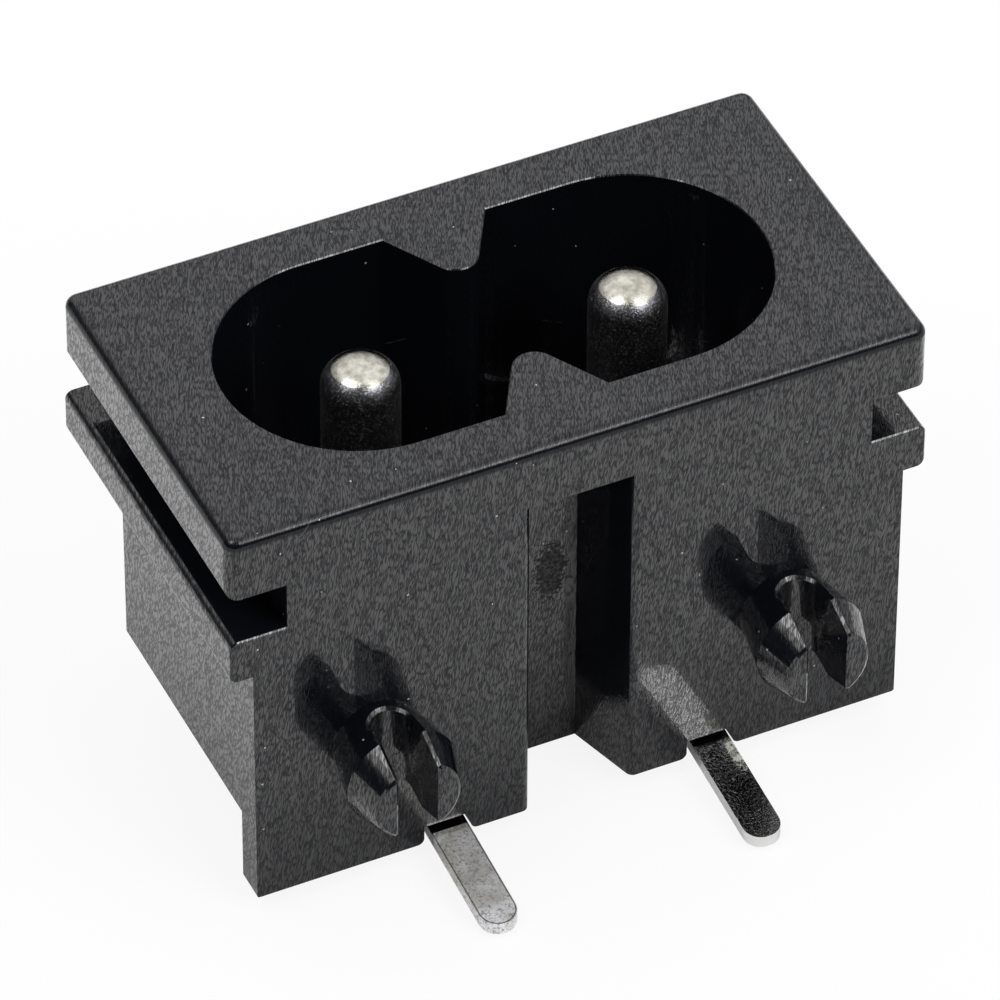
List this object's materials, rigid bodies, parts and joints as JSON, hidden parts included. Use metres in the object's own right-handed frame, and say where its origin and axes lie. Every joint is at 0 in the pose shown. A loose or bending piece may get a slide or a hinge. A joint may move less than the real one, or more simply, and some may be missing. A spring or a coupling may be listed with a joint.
{
  "type": "figure eight power connector",
  "caption": "Right-angle board-mounted appliance inlet with a keyed figure eight socket, round contact pins, panel slots, split snap-in pegs and flat solder tails.",
  "frame": {"origin": "midway between the two contact pins, in the plane of the mating face", "axes": "+X along the row of pins, +Z out of the mating face towards the plug, -Y towards the circuit board"},
  "size_m": [0.0222, 0.016, 0.0147],
  "materials": {
    "black_plastic": "satin moulded thermoplastic, fine grain",
    "nickel_plate": "bright nickel plating on brass",
    "tin_plate": "dull tin plating on brass strip"
  },
  "bodies": {
    "root": {"housing": "black_plastic", "pin_left": "nickel_plate", "pin_right": "nickel_plate", "solder_tail_left": "tin_plate", "solder_tail_right": "tin_plate"}
  },
  "joints": []
}
